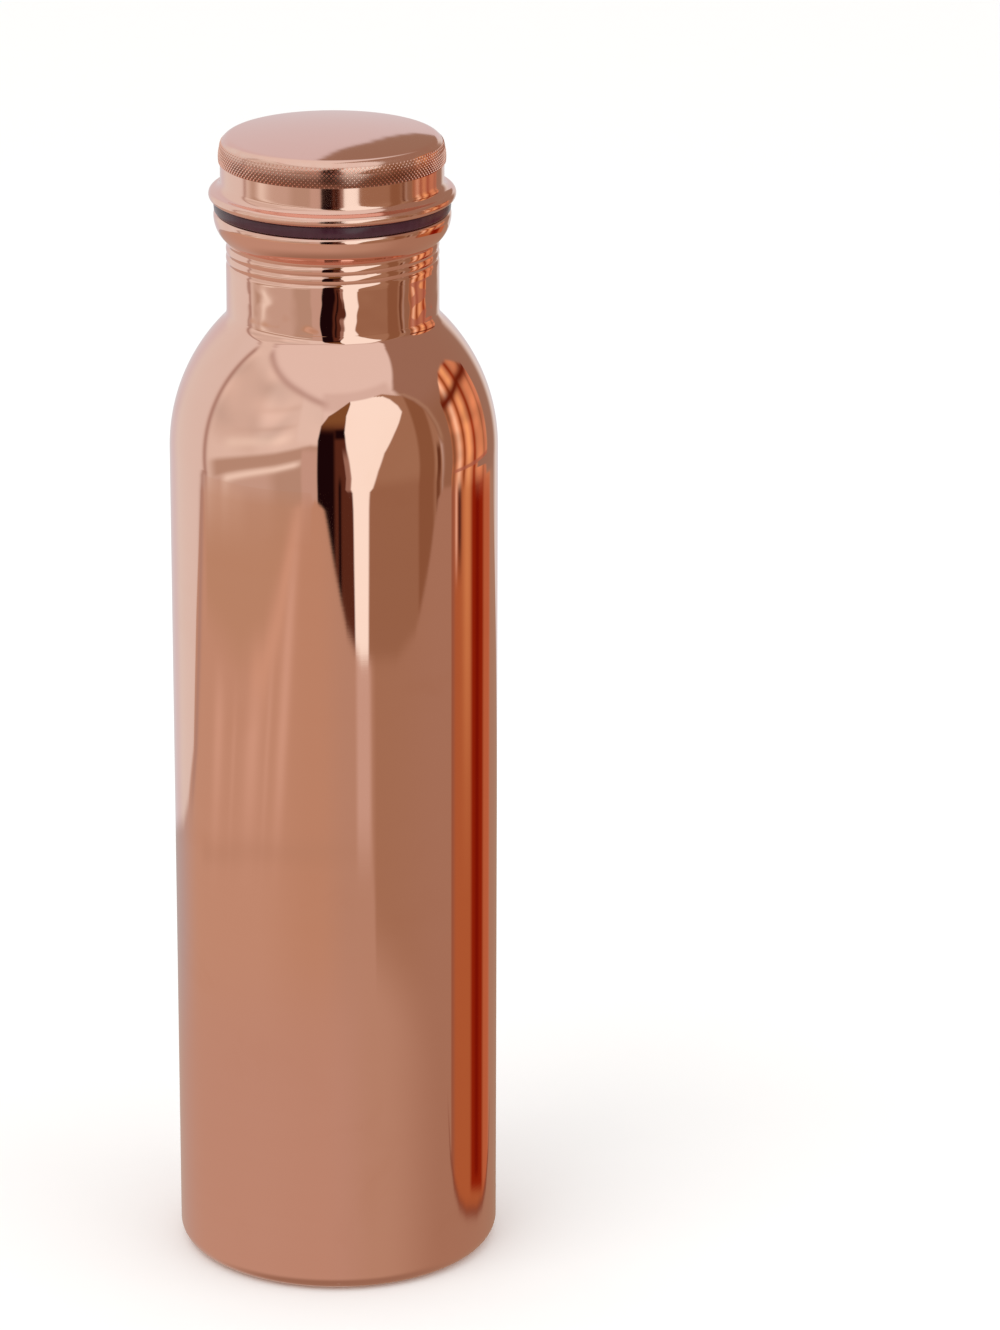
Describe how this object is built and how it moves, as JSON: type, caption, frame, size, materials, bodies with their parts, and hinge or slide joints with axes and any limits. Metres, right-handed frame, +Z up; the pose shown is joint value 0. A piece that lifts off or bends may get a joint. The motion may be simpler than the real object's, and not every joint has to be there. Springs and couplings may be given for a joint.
{
  "type": "water bottle",
  "caption": "Tall round copper water bottle with a rounded shoulder, a short rolled neck and a knurled screw cap over a dark seal ring.",
  "frame": {"origin": "centre of the base, on the surface the bottle stands on", "axes": "+Z up the bottle's axis, from the base to the cap"},
  "size_m": [0.073, 0.073, 0.2623],
  "materials": {
    "body_copper": "polished copper",
    "base_copper": "satin copper",
    "seal_silicone": "glossy silicone",
    "cap_copper": "polished copper",
    "plug_copper": "satin copper"
  },
  "bodies": {
    "bottle": {"body_shell": "body_copper", "base_plate": "base_copper"},
    "seal": {"seal_ring": "seal_silicone"},
    "cap": {"cap_shell": "cap_copper", "threaded_plug": "plug_copper"}
  },
  "joints": [
    {"name": "cap_rise", "type": "slide", "parent": "bottle", "child": "seal", "axis": [0, 0, 1], "range_m": [0, 0.016]},
    {"name": "cap_turn", "type": "hinge", "parent": "seal", "child": "cap", "pos_m": [0, 0, 0.2467], "axis": [0, 0, 1], "range_deg": [0, 2880]}
  ],
  "couplings": [
    {"joint": "cap_rise", "follows": "cap_turn", "m_per_rad": 0.00031831}
  ]
}
